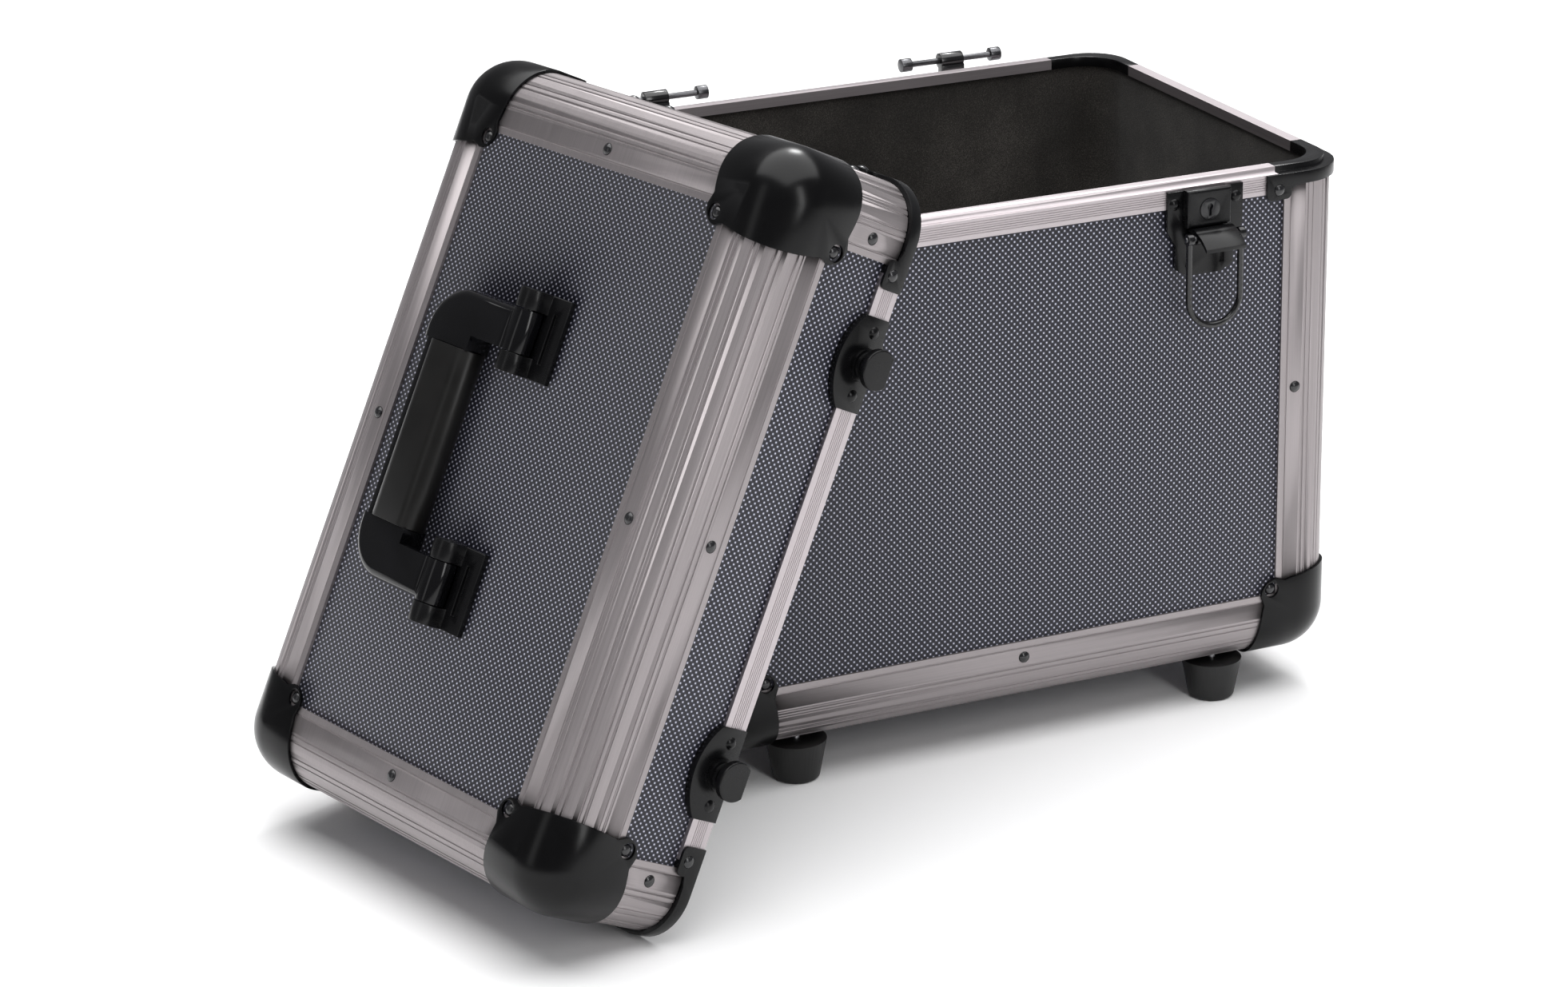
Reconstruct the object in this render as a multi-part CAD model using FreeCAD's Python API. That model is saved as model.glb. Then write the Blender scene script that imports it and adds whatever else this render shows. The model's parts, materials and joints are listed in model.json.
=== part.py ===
"""Aluminium-framed art supply box with a lift-off lid leaning against its left end.

Millimetres. The origin is the centre of the box's footprint on the floor, +X runs along the front
to the right, +Y to the back and +Z up. The lid's pieces are built as if the lid lay level with its
rim plane at z = 0, and are then placed together where the lid leans.
"""
import FreeCAD, Part
import math
import os
from FreeCAD import Placement, Rotation, Vector

# ---- driving dimensions -------------------------------------------------------------------
LENGTH = 360.0            # outer size of box and lid along the front
WIDTH = 250.0             # outer size, front to back
BOX_HEIGHT = 262.0        # underside of the box to the top of its rim lip
LID_HEIGHT = 84.0         # rim plane to the top of the lid
FOOT_HEIGHT = 21.0
LEAN = 26.5               # the lid's slope away from upright, towards the box
TWIST = 15.3              # the lid's turn about the vertical
LID_REST_X = -283.8       # middle of the lid's lower rim edge, on the floor
LID_REST_Y = -139.2

# edge profiles
LEAF = 36.0               # width of each leaf
LEAF_THICK = 1.5
CORNER_R = 24.0           # outer radius of every edge
LIP_GROOVE = 3.5          # groove beside a leaf's inner edge
RIB_ANGLES = (4.0, 11.0, 29.0, 36.0, 54.0, 61.0, 79.0, 86.0)  # pairs of grooves round the corner
GROOVE_R = 0.45

# walls
PANEL_THICK = 4.0
LINING_THICK = 2.5
LINING_R = 22.0           # inner radius of the lining's upright corners
FOOT_RIM = 2.0            # how far the bottom panel's rim rises above its floor
DEPTH = LEAF_THICK + PANEL_THICK
WALL = DEPTH + LINING_THICK

# ball corners
BALL_LEG = 46.5
BALL_THICK = 1.7
LUG_R = 9.0               # radius of the lug that carries the rivet
LUG_AT = 39.0             # rivet centre from the two edges

# rim
RIM_HEIGHT = 13.0
RIM_PROUD = 0.8
RIM_INSIDE = 9.5          # inner face of the rim from the outer plane
RIM_INNER_R = 20.5        # radius of that face at the corners
LIP_HEIGHT = 3.0
LIP_FROM = 3.0            # outer face of the lip from the outer plane
RIM_CORNER = 40.0         # where a straight rim ends, from the corner
PAD_WIDTH = 14.0
PAD_HEIGHT = 13.0
PAD_THICK = 1.4
STRIP_HEIGHT = 6.2        # black strip round the rim's corners

# rivets
RIVET_R = 3.0
RIVET_DOME = 1.4

# feet
FOOT_X = 117.5
FOOT_Y = 107.0
FOOT_TOP_R = 15.5
FOOT_LOW_R = 11.5

# latches
LATCH_X = 98.0
LATCH_OPEN = 65.0         # turn from closed to the resting, open lever
PIN_OUT = 6.0             # lever pin in front of the outer plane
PIN_Z = 255.0
LEVER_HALF = 11.0
BAIL_DROP = 5.0           # bail pivot below the lever pin when closed
BAIL_OUT = 4.6            # bail pivot in front of the lever pin when closed
BAIL_LENGTH = 45.3
BAIL_HALF = 14.3
WIRE_R = 1.6
BAIL_PIN_R = 1.4
HOUSING_HALF = 12.3
LOCK_Z = 269.5
LOCK_R = 5.4

# strikers
POST_Z = 7.5              # centre of the post above the lid's rim plane
POST_R = 6.5
CAP_R = 9.5

# hinges
HINGE_X = 86.0
HINGE_PIN_Y = WIDTH / 2 + 5.2
HINGE_PIN_Z = FOOT_HEIGHT + BOX_HEIGHT + 3.5
HINGE_PIN_R = 1.6

# handle
HANDLE_X = 61.0           # middle of each pivot bracket
HANDLE_PIN_Y = 5.0
HANDLE_PIN_UP = 8.5       # pin above the lid's top
GRIP_Y = 43.5             # middle of the folded grip
GRIP_HALF = 43.5          # half the sleeve's length
GRIP_WIDTH = 32.0
HANDLE_REACH = 65.0       # far edge of the folded handle

HALF_L = LENGTH / 2
HALF_W = WIDTH / 2
BOX_TOP = FOOT_HEIGHT + BOX_HEIGHT
SEAT_Z = BOX_TOP - LIP_HEIGHT
X_AXIS = Vector(1, 0, 0)
Y_AXIS = Vector(0, 1, 0)
Z_AXIS = Vector(0, 0, 1)

NODES = {}


def add(name, *solids):
    """Keeps one node: a single solid or a group of identical ones."""
    NODES[name] = Part.makeCompound(list(solids)) if len(solids) > 1 else solids[0]


# ---- small shape helpers --------------------------------------------------------------------
def block(x0, x1, y0, y1, z0, z1):
    return Part.makeBox(x1 - x0, y1 - y0, z1 - z0, Vector(x0, y0, z0))


def rod(start, axis, length, radius):
    return Part.makeCylinder(radius, length, start, axis)


def prism(points, sweep):
    """Extrudes a closed polygon of 3-D points along a vector."""
    outline = Part.makePolygon(points + [points[0]])
    return Part.Face(outline).extrude(sweep)


def tube_block(inset, radius, z0, z1):
    """An upright block of the plan's rounded rectangle, inset from the outer planes."""
    solid = block(-HALF_L + inset, HALF_L - inset, -HALF_W + inset, HALF_W - inset, z0, z1)
    upright = [e for e in solid.Edges if abs(e.tangentAt(e.FirstParameter).z) > 0.9]
    return solid.makeFillet(radius, upright)


def tub_block(inset, z0, z1):
    """The same block with upright and lower edges alike rounded about the profiles' centres."""
    solid = block(-HALF_L + inset, HALF_L - inset, -HALF_W + inset, HALF_W - inset, z0, z1)
    edges = [e for e in solid.Edges if e.BoundBox.ZMin < z0 + 1e-4]
    return solid.makeFillet(CORNER_R - inset, edges)


def ring(outer, inner, z0, z1):
    """A closed frame of the plan outline between two insets."""
    outside = tube_block(outer, CORNER_R - outer, z0, z1)
    inner_r = RIM_INNER_R if inner == RIM_INSIDE else CORNER_R - inner
    return outside.cut(tube_block(inner, inner_r, z0 - 1, z1 + 1))


def fuse(shapes):
    result = shapes[0].fuse(list(shapes[1:])) if len(shapes) > 1 else shapes[0]
    return result.removeSplitter()


def mirror_x(shape):
    return shape.mirror(Vector(0, 0, 0), X_AXIS)


def mirror_y(shape):
    return shape.mirror(Vector(0, 0, 0), Y_AXIS)


def four_corners(shape):
    """Copies a shape from the right front corner to all four."""
    front = [shape, mirror_x(shape)]
    return front + [mirror_y(s) for s in front]


def turned(shape, centre, axis, degrees):
    copy = shape.copy()
    copy.rotate(centre, axis, degrees)
    return copy


def rivet(point, outward):
    """A dome head with a short shank sunk under it."""
    ball_r = (RIVET_R ** 2 + RIVET_DOME ** 2) / (2 * RIVET_DOME)
    centre = point - outward * (ball_r - RIVET_DOME)
    dome = Part.makeSphere(ball_r, centre).common(rod(point, outward, RIVET_DOME + 1, RIVET_R))
    return dome.fuse(rod(point - outward * 1.2, outward, 1.2, RIVET_R * 0.55)).removeSplitter()


# ---- extruded edge profile ----------------------------------------------------------------
def profile_section():
    """The profile's section in the YZ plane: leaves on y = 0 and z = 0, corner at the origin."""
    t = LEAF_THICK
    r = CORNER_R
    mid = r - r * math.sqrt(0.5)
    inner_mid = r - (r - t) * math.sqrt(0.5)
    edges = [
        Part.makeLine(Vector(0, LEAF, 0), Vector(0, r, 0)),
        Part.Arc(Vector(0, r, 0), Vector(0, mid, mid), Vector(0, 0, r)).toShape(),
        Part.makeLine(Vector(0, 0, r), Vector(0, 0, LEAF)),
        Part.makeLine(Vector(0, 0, LEAF), Vector(0, t, LEAF)),
        Part.makeLine(Vector(0, t, LEAF), Vector(0, t, r)),
        Part.Arc(Vector(0, t, r), Vector(0, inner_mid, inner_mid), Vector(0, r, t)).toShape(),
        Part.makeLine(Vector(0, r, t), Vector(0, LEAF, t)),
        Part.makeLine(Vector(0, LEAF, t), Vector(0, LEAF, 0)),
    ]
    section = Part.Face(Part.Wire(edges))
    centres = [Vector(0, LEAF - LIP_GROOVE, 0), Vector(0, 0, LEAF - LIP_GROOVE)]
    for angle in RIB_ANGLES:
        a = math.radians(angle)
        centres.append(Vector(0, r - r * math.cos(a), r - r * math.sin(a)))
    tools = [Part.Face(Part.Wire(Part.makeCircle(GROOVE_R, c, X_AXIS))) for c in centres]
    return section.cut(Part.makeCompound(tools))


def bottom_profile_front(half, base_z):
    """The profile along a lower front edge, its corner at (y = -HALF_W, z = base_z)."""
    solid = profile_section().extrude(Vector(2 * half, 0, 0))
    solid.translate(Vector(-half, -HALF_W, base_z))
    return solid


def end_profile(half, base_z):
    """The same profile along the lower right edge."""
    solid = profile_section().extrude(Vector(2 * half, 0, 0))
    solid.translate(Vector(-half, 0, 0))
    solid.rotate(Vector(0, 0, 0), Z_AXIS, 90)
    solid.translate(Vector(HALF_L, 0, base_z))
    return solid


def corner_profile(z0, z1):
    """The upright profile at the right front corner."""
    solid = profile_section().extrude(Vector(z1 - z0, 0, 0))
    solid.rotate(Vector(0, 0, 0), Y_AXIS, -90)
    solid.translate(Vector(HALF_L, -HALF_W, z0))
    return solid


# ---- moulded ball corner --------------------------------------------------------------------
def rounded_octant(grow, leg):
    """A block at the right front lower corner whose three outer edges are rounded."""
    x1 = HALF_L + grow
    y0 = -HALF_W - grow
    solid = block(x1 - leg - 40, x1, y0, y0 + leg + 40, -grow, leg + 40 - grow)
    picked = []
    for edge in solid.Edges:
        box = edge.BoundBox
        on_x = abs(box.XMin - x1) < 1e-6 and abs(box.XMax - x1) < 1e-6
        on_y = abs(box.YMin - y0) < 1e-6 and abs(box.YMax - y0) < 1e-6
        on_z = abs(box.ZMin + grow) < 1e-6 and abs(box.ZMax + grow) < 1e-6
        if on_x + on_y + on_z == 2:
            picked.append(edge)
    return solid.makeFillet(CORNER_R + grow, picked)


def face_outline():
    """The plan of one leg from the origin: ends that bulge at the rounded edge, and a rounded lug."""
    out = -9.0
    leg = BALL_LEG
    waist = leg - 3.3
    lug = leg - 1.5
    near = lug - LUG_R
    mid = near + LUG_R * math.sqrt(0.5)
    low = leg - 15.5
    edges = [
        Part.makeLine(Vector(out, out, 0), Vector(leg, out, 0)),
        Part.makeLine(Vector(leg, out, 0), Vector(leg, 0, 0)),
        Part.Arc(Vector(leg, 0, 0), Vector(leg - 0.8, low / 2, 0), Vector(waist, low, 0)).toShape(),
        Part.makeLine(Vector(waist, low, 0), Vector(lug, near, 0)),
        Part.Arc(Vector(lug, near, 0), Vector(mid, mid, 0), Vector(near, lug, 0)).toShape(),
        Part.makeLine(Vector(near, lug, 0), Vector(low, waist, 0)),
        Part.Arc(Vector(low, waist, 0), Vector(low / 2, leg - 0.8, 0), Vector(0, leg, 0)).toShape(),
        Part.makeLine(Vector(0, leg, 0), Vector(out, leg, 0)),
        Part.makeLine(Vector(out, leg, 0), Vector(out, out, 0)),
    ]
    return Part.Face(Part.Wire(edges))


def ball_corner():
    """The shell over the right front lower corner, base at z = 0, with rivet pockets."""
    shell = rounded_octant(BALL_THICK, BALL_LEG).cut(rounded_octant(0.0, BALL_LEG))
    trim = face_outline().extrude(Vector(0, 0, BALL_LEG + 9))
    trim.translate(Vector(0, 0, -9))
    upright = trim.copy()
    upright.rotate(Vector(0, 0, 0), Z_AXIS, 90)
    upright.translate(Vector(HALF_L, -HALF_W, 0))
    over_front = turned(trim, Vector(0, 0, 0), X_AXIS, 90)
    over_front = mirror_y(over_front)
    over_front = mirror_x(over_front)
    over_front.translate(Vector(HALF_L, -HALF_W, 0))
    over_side = turned(trim, Vector(0, 0, 0), Y_AXIS, -90)
    over_side.translate(Vector(HALF_L, -HALF_W, 0))
    shell = shell.common(upright).common(over_front).common(over_side)
    pockets = []
    for point, outward in lug_points(0.0):
        pockets.append(rod(point - outward * 3.0, outward, 6.0, RIVET_R + 0.9))
    shell = shell.cut(pockets)
    return shell.removeSplitter()


def lug_points(rise):
    """Rivet seats of the right front lower ball corner: front, side and underside."""
    x_in = HALF_L - LUG_AT
    y_in = -HALF_W + LUG_AT
    return [
        (Vector(x_in, -HALF_W - rise, LUG_AT), Vector(0, -1, 0)),
        (Vector(HALF_L + rise, y_in, LUG_AT), Vector(1, 0, 0)),
        (Vector(x_in, y_in, -rise), Vector(0, 0, -1)),
    ]


# ---- rim --------------------------------------------------------------------------------------
def rim_rings(top, is_lid):
    """Solids of the closing rim all round, downward from z = top, before it is cut up."""
    low = top - RIM_HEIGHT
    if is_lid:
        return fuse([
            ring(-RIM_PROUD, LEAF_THICK, low, top),
            ring(0.0, RIM_INSIDE, top - LIP_HEIGHT - 3.0, top - LIP_HEIGHT - 0.4),
            ring(-RIM_PROUD, LIP_FROM - 0.4, top - LIP_HEIGHT - 3.0, top),
        ])
    return fuse([
        ring(-RIM_PROUD, LEAF_THICK, low, top - LIP_HEIGHT),
        ring(0.0, RIM_INSIDE, top - LIP_HEIGHT - 2.4, top - LIP_HEIGHT),
        ring(LIP_FROM, RIM_INSIDE, top - LIP_HEIGHT - 2.4, top),
    ])


def rim_front_straight(rings, top, is_lid):
    """The straight front length of the rim with its fine ribs."""
    reach = HALF_L - RIM_CORNER
    piece = rings.common(block(-reach, reach, -HALF_W - 3, -HALF_W + 20, top - 60, top + 1))
    count = 6
    start = top - RIM_HEIGHT + 2.6
    tools = []
    for i in range(count):
        z = start + i * 1.15 + (1.2 if is_lid else 0.0)
        tools.append(rod(Vector(-reach - 1, -HALF_W - RIM_PROUD, z), X_AXIS, 2 * reach + 2, 0.28))
    return piece.cut(tools)


def rim_end_straight(rings, top, is_lid):
    """The straight length of the rim at the right end."""
    reach = HALF_W - RIM_CORNER
    piece = rings.common(block(HALF_L - 20, HALF_L + 3, -reach, reach, top - 60, top + 1))
    start = top - RIM_HEIGHT + 2.6
    tools = []
    for i in range(6):
        z = start + i * 1.15 + (1.2 if is_lid else 0.0)
        tools.append(rod(Vector(HALF_L + RIM_PROUD, -reach - 1, z), Y_AXIS, 2 * reach + 2, 0.28))
    return piece.cut(tools)


def rim_bracket(rings, top, drop):
    """The black corner piece at the right front, its strip and riveted pads drop below the top."""
    corner = block(HALF_L - RIM_CORNER, HALF_L + 5, -HALF_W - 5, -HALF_W + RIM_CORNER, top - 60, top + 1)
    proud = RIM_PROUD + PAD_THICK
    high = top - drop
    over = LEAF + 0.4
    bare = ring(-RIM_PROUD - 1, LEAF_THICK + 0.05, top - RIM_HEIGHT - 1, high - STRIP_HEIGHT)
    bare = bare.common(block(HALF_L - over, HALF_L + 5, -HALF_W - 5, -HALF_W + over, top - 60, top))
    piece = rings.common(corner).cut(bare)
    strip = ring(-proud, -RIM_PROUD, high - STRIP_HEIGHT, high).common(corner)
    x0 = HALF_L - RIM_CORNER - PAD_WIDTH / 2
    face = -HALF_W - RIM_PROUD
    pad = block(x0, x0 + PAD_WIDTH, -HALF_W - proud, face, high - PAD_HEIGHT, high)
    low = [e for e in pad.Edges if abs(e.tangentAt(e.FirstParameter).y) > 0.9
           and e.BoundBox.ZMax < high - 1]
    pad = pad.makeFillet(3.0, low)
    pad = pad.fuse(prism_step(x0, face, high))
    return fuse([piece, strip, pad, mirrored_diagonal(pad)])


def prism_step(x0, face, high):
    """The strip's slope down to the pad, on the corner's side."""
    x1 = x0 + PAD_WIDTH
    low = high - STRIP_HEIGHT
    points = [Vector(x1 - 0.5, face, high), Vector(x1 + 5.0, face, high),
              Vector(x1 + 5.0, face, low), Vector(x1 - 0.5, face, low - 1.6)]
    return prism(points, Vector(0, -PAD_THICK, 0))


def mirrored_diagonal(shape):
    """Mirrors a piece on the front face at the right front corner to the end face."""
    return shape.mirror(Vector(HALF_L, -HALF_W, 0), Vector(1, 1, 0).normalize())


def pad_points(high):
    """Rivet seats on the pads of the right front rim corner."""
    proud = RIM_PROUD + PAD_THICK
    z = high - 8.0
    return [
        (Vector(HALF_L - RIM_CORNER, -HALF_W - proud, z), Vector(0, -1, 0)),
        (Vector(HALF_L + proud, -HALF_W + RIM_CORNER, z), Vector(1, 0, 0)),
    ]


# ---- walls ----------------------------------------------------------------------------------
def shell_panels(base_z, top_z):
    """Five panels of a box that is open upward: bottom, front, back, left and right."""
    lift = base_z + LEAF_THICK
    floor_z = lift + PANEL_THICK
    shell = tub_block(LEAF_THICK, lift, top_z).cut(tub_block(DEPTH, floor_z, top_z + 1))
    seam = floor_z + FOOT_RIM
    bottom = shell.common(block(-400, 400, -400, 400, lift - 1, seam))
    walls = shell.common(block(-400, 400, -400, 400, seam, top_z + 1))
    front, right = mitred(walls, seam, top_z)
    return bottom, front, mirror_y(front), mirror_x(right), right


def mitred(walls, z0, z1):
    """The front and right walls, cut on the planes through the upright corners' centres."""
    cx = HALF_L - CORNER_R
    cy = HALF_W - CORNER_R
    reach = 60.0
    front_zone = [
        Vector(-cx, -cy, z0), Vector(cx, -cy, z0),
        Vector(cx + reach, -cy - reach, z0), Vector(-cx - reach, -cy - reach, z0),
    ]
    right_zone = [
        Vector(cx, -cy, z0), Vector(cx, cy, z0),
        Vector(cx + reach, cy + reach, z0), Vector(cx + reach, -cy - reach, z0),
    ]
    up = Vector(0, 0, z1 - z0)
    return walls.common(prism(front_zone, up)), walls.common(prism(right_zone, up))


def lining(base_z, top_z):
    """The felt lining: four walls with rounded corners and a floor."""
    inner = tube_block(WALL, LINING_R, base_z + LINING_THICK, top_z + 1)
    low = [e for e in inner.Edges if e.BoundBox.ZMax < base_z + LINING_THICK + 1e-4]
    inner = inner.makeFillet(CORNER_R - WALL, low)
    return tub_block(DEPTH, base_z, top_z).cut(inner)


# ---- shells of box and lid --------------------------------------------------------------------
def upturned(shape):
    """Turns a piece of an upward-open shell into the matching piece of the lid."""
    copy = shape.copy()
    copy.rotate(Vector(0, 0, 0), X_AXIS, 180)
    copy.translate(Vector(0, 0, LID_HEIGHT))
    return copy


def frame_profiles(height):
    """The long and the upright profiles of an upward-open shell standing on z = 0."""
    long_ones = [bottom_profile_front(HALF_L - LEAF, 0.0), end_profile(HALF_W - LEAF, 0.0)]
    long_ones += [mirror_y(long_ones[0]), mirror_x(long_ones[1])]
    top = height - STRIP_HEIGHT - 0.4
    upright = four_corners(corner_profile(LEAF, top))
    return long_ones, upright


def shell_rivets(height, pad_top):
    """Rivets of an upward-open shell standing on z = 0."""
    seat = 8.6
    along = LEAF - seat
    spots = [
        (Vector(0, -HALF_W, along), Vector(0, -1, 0)),
        (Vector(0, -HALF_W + along, 0), Vector(0, 0, -1)),
        (Vector(0, HALF_W, along), Vector(0, 1, 0)),
        (Vector(0, HALF_W - along, 0), Vector(0, 0, -1)),
        (Vector(HALF_L, 0, along), Vector(1, 0, 0)),
        (Vector(HALF_L - along, 0, 0), Vector(0, 0, -1)),
        (Vector(-HALF_L, 0, along), Vector(-1, 0, 0)),
        (Vector(-HALF_L + along, 0, 0), Vector(0, 0, -1)),
    ]
    middle = (BALL_LEG + height - RIM_HEIGHT) / 2
    corner = [
        (Vector(HALF_L - along, -HALF_W, middle), Vector(0, -1, 0)),
        (Vector(HALF_L, -HALF_W + along, middle), Vector(1, 0, 0)),
    ]
    corner += lug_points(0.0)
    corner += pad_points(pad_top)
    solids = [rivet(p, d) for p, d in spots]
    for point, outward in corner:
        solids += four_corners(rivet(point, outward))
    return solids


def raised(shapes, height):
    out = []
    for shape in shapes:
        copy = shape.copy()
        copy.translate(Vector(0, 0, height))
        out.append(copy)
    return out


def build_box():
    """Box shell on its feet."""
    z0 = FOOT_HEIGHT
    wall_top = BOX_TOP - LIP_HEIGHT - 2.4
    bottom, front, back, left, right = shell_panels(z0, wall_top)
    screw_ways = [screw_way(x, y) for x in (-FOOT_X, FOOT_X) for y in (-FOOT_Y, FOOT_Y)]
    add("body_bottom_panel", bottom.cut(screw_ways))
    add("body_front_panel", front)
    add("body_back_panel", back)
    add("body_left_panel", left)
    add("body_right_panel", right)
    rings = rim_rings(BOX_TOP, False)
    add("body_lining", lining(z0 + DEPTH, wall_top).cut(rings))
    rivets = shell_rivets(BOX_HEIGHT - LIP_HEIGHT, BOX_HEIGHT - LIP_HEIGHT)
    long_ones, upright = frame_profiles(BOX_HEIGHT - LIP_HEIGHT)
    drilled = [s.cut(screw_ways) for s in raised(drill(long_ones, rivets), z0)]
    add("body_bottom_profiles", *drilled)
    add("body_corner_profiles", *raised(drill(upright, rivets), z0))
    add("body_ball_corners", *raised(four_corners(ball_corner()), z0))
    front_rim = rim_front_straight(rings, BOX_TOP, False)
    right_rim = rim_end_straight(rings, BOX_TOP, False)
    add("body_rim_front", front_rim)
    add("body_rim_back", mirror_y(front_rim))
    add("body_rim_right", right_rim)
    add("body_rim_left", mirror_x(right_rim))
    bracket = rim_bracket(rings, BOX_TOP, LIP_HEIGHT)
    standing = raised(rivets, z0)
    add("body_rim_brackets", *drill(four_corners(bracket), standing))
    add("body_rivets", *standing)


def drill(shapes, tools):
    """Cuts each shape by the tools whose bounds meet it."""
    out = []
    for shape in shapes:
        near = [t for t in tools if shape.BoundBox.intersect(t.BoundBox)]
        out.append(shape.cut(near) if near else shape)
    return out


def screw_way(x, y):
    """The hole for one foot's screw."""
    return rod(Vector(x, y, FOOT_HEIGHT - 1), Z_AXIS, 6.6, 2.0)


# ---- feet -------------------------------------------------------------------------------------
def build_feet():
    """Four tapered rubber feet, each with a screw sunk in its underside."""
    cone = Part.makeCone(FOOT_LOW_R, FOOT_TOP_R, FOOT_HEIGHT)
    low = [e for e in cone.Edges if e.BoundBox.ZMax < 0.1]
    cone = cone.makeFillet(2.2, low)
    cone = cone.cut(rod(Vector(0, 0, -1), Z_AXIS, 13, 5.0))
    cone = cone.cut(rod(Vector(0, 0, 11), Z_AXIS, 12, 2.1))
    screw = rod(Vector(0, 0, 9.0), Z_AXIS, 3.0, 4.4)
    screw = screw.fuse(rod(Vector(0, 0, 12.0), Z_AXIS, FOOT_HEIGHT - 12 + 5, 2.0))
    screw = screw.cut(block(-3, 3, -0.5, 0.5, 8, 10)).cut(block(-0.5, 0.5, -3, 3, 8, 10))
    screws = []
    places = {"front_left": (-1, -1), "front_right": (1, -1), "back_left": (-1, 1), "back_right": (1, 1)}
    for name, (sx, sy) in places.items():
        at = Vector(sx * FOOT_X, sy * FOOT_Y, 0)
        foot = cone.copy()
        foot.translate(at)
        add("foot_" + name, foot)
        one = screw.copy()
        one.translate(at)
        screws.append(one)
    add("foot_screws", *screws)


# ---- latches ----------------------------------------------------------------------------------
def latch_base():
    """Pressed base: wide top flange, narrower foot with a curved end, ears for the lever pin."""
    front = -HALF_W - RIM_PROUD
    t = 1.5
    outline = [(-21, SEAT_Z - 1), (21, SEAT_Z - 1), (21, 259), (16, 251), (16, 239), (9, 235.2),
               (-9, 235.2), (-16, 239), (-16, 251), (-21, 259)]
    plate = prism([Vector(u, front, z) for u, z in outline], Vector(0, -t, 0))
    step = SEAT_Z - (RIM_HEIGHT - LIP_HEIGHT)
    backing = prism([Vector(u * 0.96, front, min(z, step)) for u, z in outline],
                    Vector(0, RIM_PROUD + LEAF_THICK, 0))
    ears = []
    for u in (-10.3, 8.3):
        arm = block(u, u + 2.0, -HALF_W - PIN_OUT, front, PIN_Z - 2.6, PIN_Z + 2.6)
        ears.append(arm.fuse(rod(Vector(u, -HALF_W - PIN_OUT, PIN_Z), X_AXIS, 2.0, 2.6)))
    base = fuse([plate, backing] + ears)
    slots = [block(u - 1.3, u + 1.3, front - 3, front - 0.6, 240, 249) for u in (-9.5, 9.5)]
    pin_hole = rod(Vector(-15, -HALF_W - PIN_OUT, PIN_Z), X_AXIS, 30, 1.45)
    base = base.cut(slots + [pin_hole])
    for u in (-17.2, 17.2):
        base = base.fuse(rivet(Vector(u, front - t, 272.5), Vector(0, -1, 0)))
    return base.removeSplitter()


def latch_housing():
    """Raised lock housing above the lever, bored for the lock cylinder."""
    back = -HALF_W - RIM_PROUD - 1.5
    solid = block(-HOUSING_HALF, HOUSING_HALF, -HALF_W - 7.0, back, 260.5, 279.5)
    upright = [e for e in solid.Edges if abs(e.tangentAt(e.FirstParameter).z) > 0.9
               and e.BoundBox.YMax < back - 1]
    flat = [e for e in solid.Edges if abs(e.tangentAt(e.FirstParameter).x) > 0.9
            and e.BoundBox.YMax < back - 1]
    solid = solid.makeFillet(1.6, upright + flat)
    return solid.cut(rod(Vector(0, -HALF_W - 9, LOCK_Z), Y_AXIS, 9 - 3.6, LOCK_R + 0.05))


def lock_cylinder():
    """Lock cylinder with its key slot."""
    solid = rod(Vector(0, -HALF_W - 7.4, LOCK_Z), Y_AXIS, 3.6, LOCK_R)
    slot = block(-0.7, 0.7, -HALF_W - 8, -HALF_W - 5.4, LOCK_Z - 3.4, LOCK_Z + 1)
    keyway = rod(Vector(0, -HALF_W - 8, LOCK_Z + 1.2), Y_AXIS, 2.6, 1.5)
    return solid.cut(slot).cut(keyway)


def lever_plate(pin):
    """The lever's curved tongue, from over the pin forward and down."""
    def at(forward, up):
        return pin + Vector(-LEVER_HALF, -forward, up)

    edges = [
        Part.makeLine(at(0.2, 0.6), at(0.2, 3.0)),
        Part.Arc(at(0.2, 3.0), at(5.8, 1.0), at(8.0, -5.0)).toShape(),
        Part.Arc(at(8.0, -5.0), at(8.2, -10.5), at(6.8, -16.5)).toShape(),
        Part.makeLine(at(6.8, -16.5), at(4.9, -16.9)),
        Part.Arc(at(4.9, -16.9), at(6.3, -10.5), at(6.1, -5.4)).toShape(),
        Part.Arc(at(6.1, -5.4), at(4.5, -0.6), at(0.2, 0.6)).toShape(),
    ]
    return Part.Face(Part.Wire(edges)).extrude(Vector(2 * LEVER_HALF, 0, 0))


def latch_lever():
    """Curved lever in its closed place, hub round the pin and cheeks for the bail."""
    pin = Vector(0, -HALF_W - PIN_OUT, PIN_Z)
    hub = rod(pin + Vector(-7.9, 0, 0), X_AXIS, 15.8, 3.0)
    plate = lever_plate(pin)
    hub_half = 7.9
    for start in (-LEVER_HALF - 1, hub_half):
        plate = plate.cut(rod(pin + Vector(start, 0, 0), X_AXIS, LEVER_HALF - hub_half + 1, 4.3))
    pivot = pin + Vector(0, -BAIL_OUT, -BAIL_DROP)
    cheeks = []
    for u in (-LEVER_HALF, LEVER_HALF - 1.8):
        cheeks.append(rod(pivot + Vector(u, 0, 0), X_AXIS, 1.8, 2.9))
    lever = fuse([hub, plate] + cheeks)
    lever = lever.cut(rod(pin + Vector(-20, 0, 0), X_AXIS, 40, 1.5))
    return lever.cut(rod(pivot + Vector(-20, 0, 0), X_AXIS, 40, BAIL_PIN_R + 0.05))


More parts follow.
